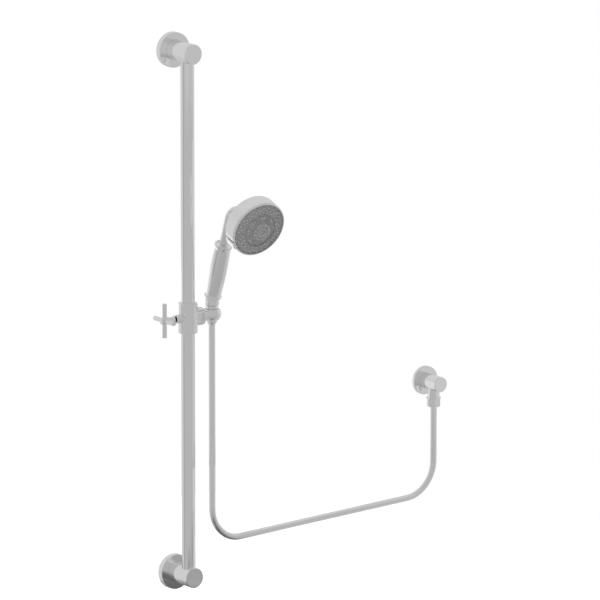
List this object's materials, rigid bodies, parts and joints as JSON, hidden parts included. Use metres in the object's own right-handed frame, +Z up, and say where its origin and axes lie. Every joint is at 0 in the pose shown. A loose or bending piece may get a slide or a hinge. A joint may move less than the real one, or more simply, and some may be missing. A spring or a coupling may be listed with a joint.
{
  "type": "shower slide rail",
  "caption": "Wall-mounted shower slide rail: round bar on wall posts, clamped slider with a tilting holder, hand shower with a round spray head, and a hose to an outlet elbow.",
  "frame": {"origin": "centre of the lower wall fixing, on the wall plane", "axes": "+Z up along the rail, +Y into the wall, +X along the wall towards the hose's outlet elbow"},
  "size_m": [0.6448, 0.2231, 1.0296],
  "materials": {
    "chrome": "polished plating",
    "plated_plastic": "polished chrome plating on plastic",
    "brass": "turned, unplated",
    "steel": "machined",
    "black_rubber": "matte",
    "grey_silicone": "matte, soft",
    "white_nylon": "matte",
    "dark_face": "satin",
    "silver_hose": "smooth silver sleeve"
  },
  "bodies": {
    "rail": {"rail_tube": "chrome", "lower_wall_boss": "brass", "upper_wall_boss": "brass", "lower_flange": "chrome", "upper_flange": "chrome", "lower_post": "chrome", "upper_post": "chrome", "post_grub_screws": "steel", "elbow_flange": "chrome", "elbow_body": "chrome", "elbow_washer": "black_rubber", "hose_elbow_nut": "chrome", "hose_elbow_tail": "chrome", "hose": "silver_hose"},
    "carriage": {"slider_liner": "white_nylon"},
    "slider": {"slider_sleeve": "chrome", "clamp_pad": "white_nylon", "pivot_screw": "steel", "pivot_washer": "white_nylon"},
    "knob": {"clamp_spindle": "brass", "knob_ring": "black_rubber", "cross_handle": "chrome", "knob_cap": "chrome"},
    "holder": {"holder_cup": "chrome", "holder_liner": "white_nylon", "hose_cone_nut": "chrome", "hose_cone_tail": "brass", "cone_washer": "black_rubber", "handset_base": "chrome", "lower_trim_ring": "chrome", "grip_barrel": "chrome", "upper_collar": "chrome", "water_tube": "white_nylon", "neck": "chrome", "head_shell": "plated_plastic", "spray_plate": "dark_face", "nozzle_mat": "grey_silicone", "centre_disc": "dark_face", "stem_seal": "black_rubber"},
    "selector": {"selector_ring": "plated_plastic", "selector_disc": "white_nylon"}
  },
  "joints": [
    {"name": "slider_height", "type": "slide", "parent": "rail", "child": "carriage", "axis": [0, 0, 1], "range_m": [-0.43, 0.43], "deforming": ["hose"]},
    {"name": "slider_swivel", "type": "hinge", "parent": "carriage", "child": "slider", "pos_m": [0, -0.052, 0.4803], "axis": [0, 0, 1], "range_deg": [-20, 30], "deforming": ["hose"]},
    {"name": "clamp_knob", "type": "hinge", "parent": "slider", "child": "knob", "pos_m": [0, -0.052, 0.4803], "axis": [-1, 0, 0], "range_deg": [0, 180]},
    {"name": "holder_tilt", "type": "hinge", "parent": "slider", "child": "holder", "pos_m": [0, -0.052, 0.4803], "axis": [1, 0, 0], "range_deg": [-25, 25], "deforming": ["hose"]},
    {"name": "spray_selector", "type": "hinge", "parent": "holder", "child": "selector", "pos_m": [0.052, -0.20234, 0.66229], "axis": [0, -0.9361, -0.3518], "range_deg": [0, 116]}
  ]
}
